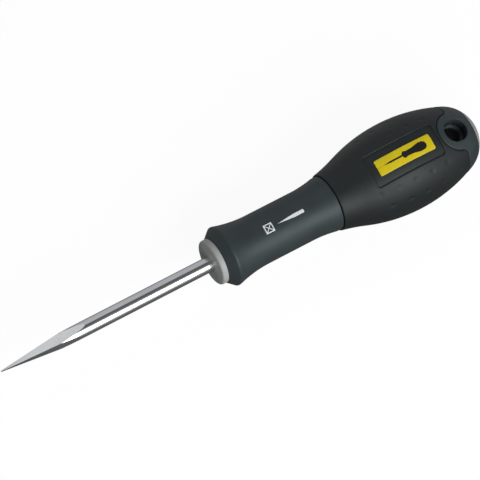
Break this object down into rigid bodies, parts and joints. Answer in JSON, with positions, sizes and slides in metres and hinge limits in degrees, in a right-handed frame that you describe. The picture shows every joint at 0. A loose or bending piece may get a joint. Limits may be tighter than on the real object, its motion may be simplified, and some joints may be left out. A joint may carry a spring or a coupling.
{
  "type": "bradawl",
  "caption": "Bradawl with a round steel blade ground to a long square point, in a waisted moulded handle with a soft bulb grip and a cross hole to hang it by.",
  "frame": {"origin": "On the tool's axis, at the front face of the nose collar, where the blade leaves the handle.", "axes": "+X runs along the tool from the point to the butt. +Z is the way the label and the upper mouth of the hang hole face, so the tool lies on a table label up. +Y completes the right-handed frame."},
  "size_m": [0.201, 0.035, 0.034],
  "materials": {
    "blade_steel": "ground and polished along the bar",
    "light_grey_plastic": "satin moulded",
    "slate_plastic": "fine satin moulded texture",
    "black_rubber": "soft matt with faint sunk lozenges",
    "yellow_plate": "glossy foil"
  },
  "bodies": {
    "root": {"blade": "blade_steel", "core": "light_grey_plastic", "shell": "slate_plastic", "grip": "black_rubber", "label": "yellow_plate"}
  },
  "joints": []
}
